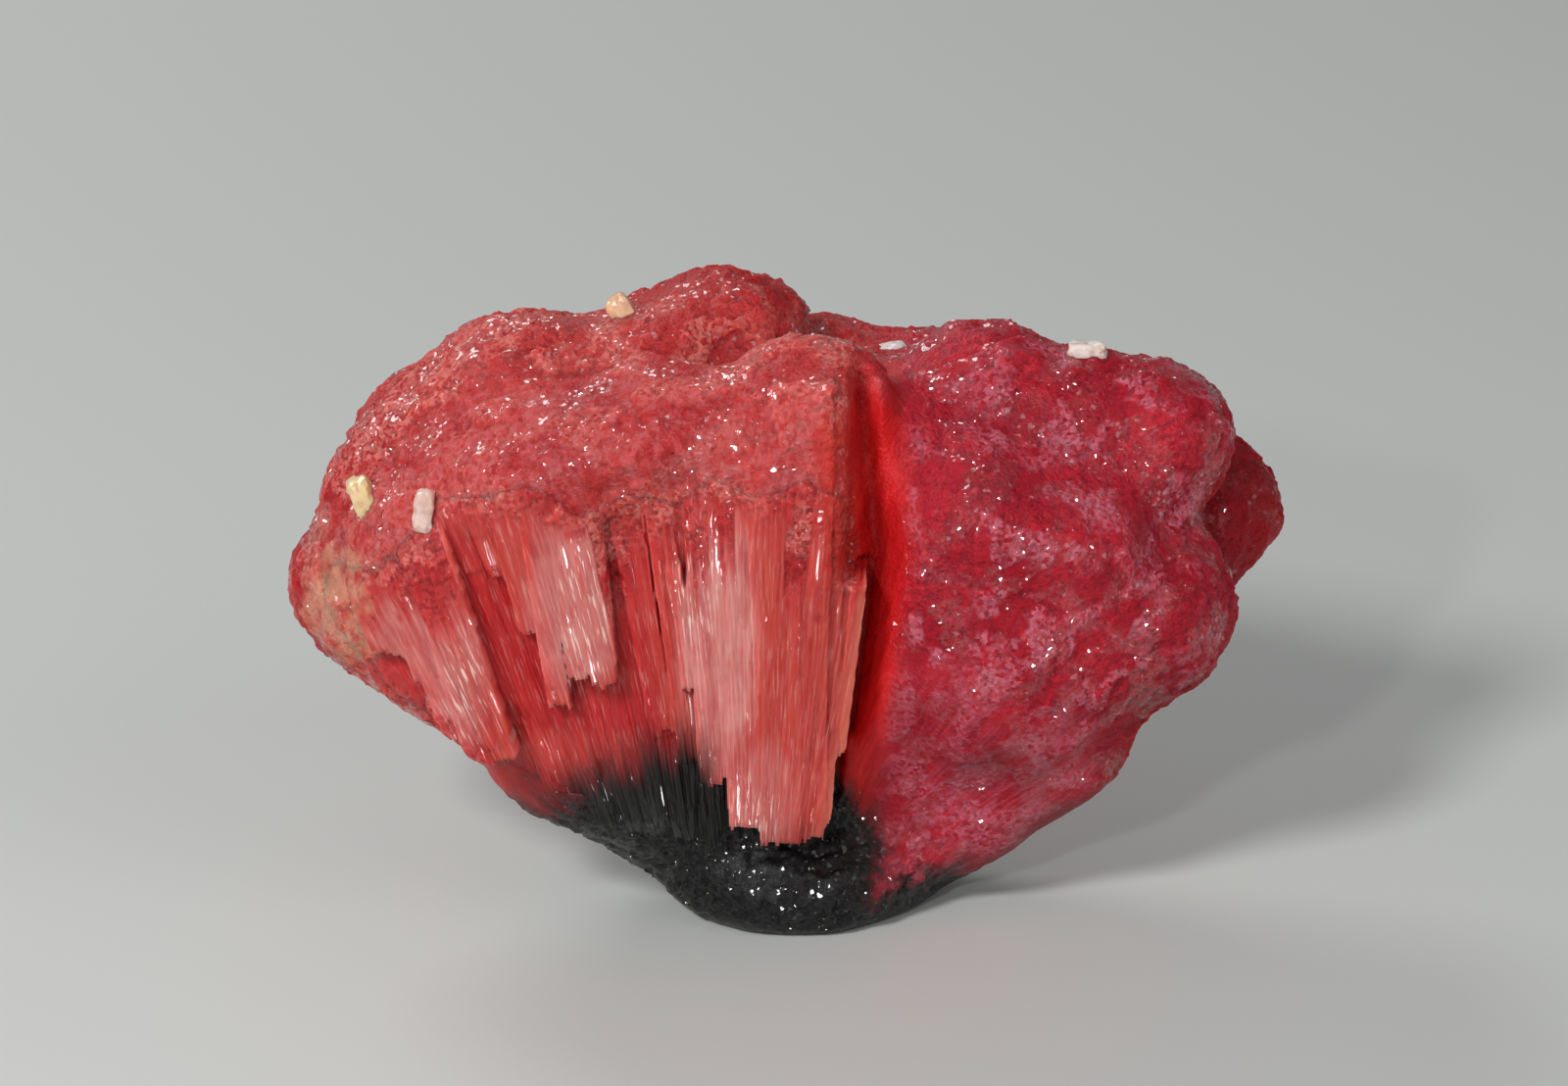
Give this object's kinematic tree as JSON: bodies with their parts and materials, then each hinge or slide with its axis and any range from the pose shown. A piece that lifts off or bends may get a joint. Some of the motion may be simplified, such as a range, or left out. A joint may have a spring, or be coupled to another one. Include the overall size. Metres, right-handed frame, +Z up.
{
  "type": "elbaite crystal",
  "caption": "Fan of grown-together pink tourmaline needles on a black granular root, with a lumpy cap, a splintered broken front and a flat break to stand on.",
  "frame": {"origin": "middle of the flat break under the root, on the surface the crystal stands on", "axes": "+Z up, +X along the spread of the fan towards the right lobe, -Y out of the broken front face"},
  "size_m": [0.0323, 0.0154, 0.0206],
  "materials": {
    "elbaite": "satin"
  },
  "bodies": {
    "root": {"elbaite_crystal": "elbaite"}
  },
  "joints": []
}
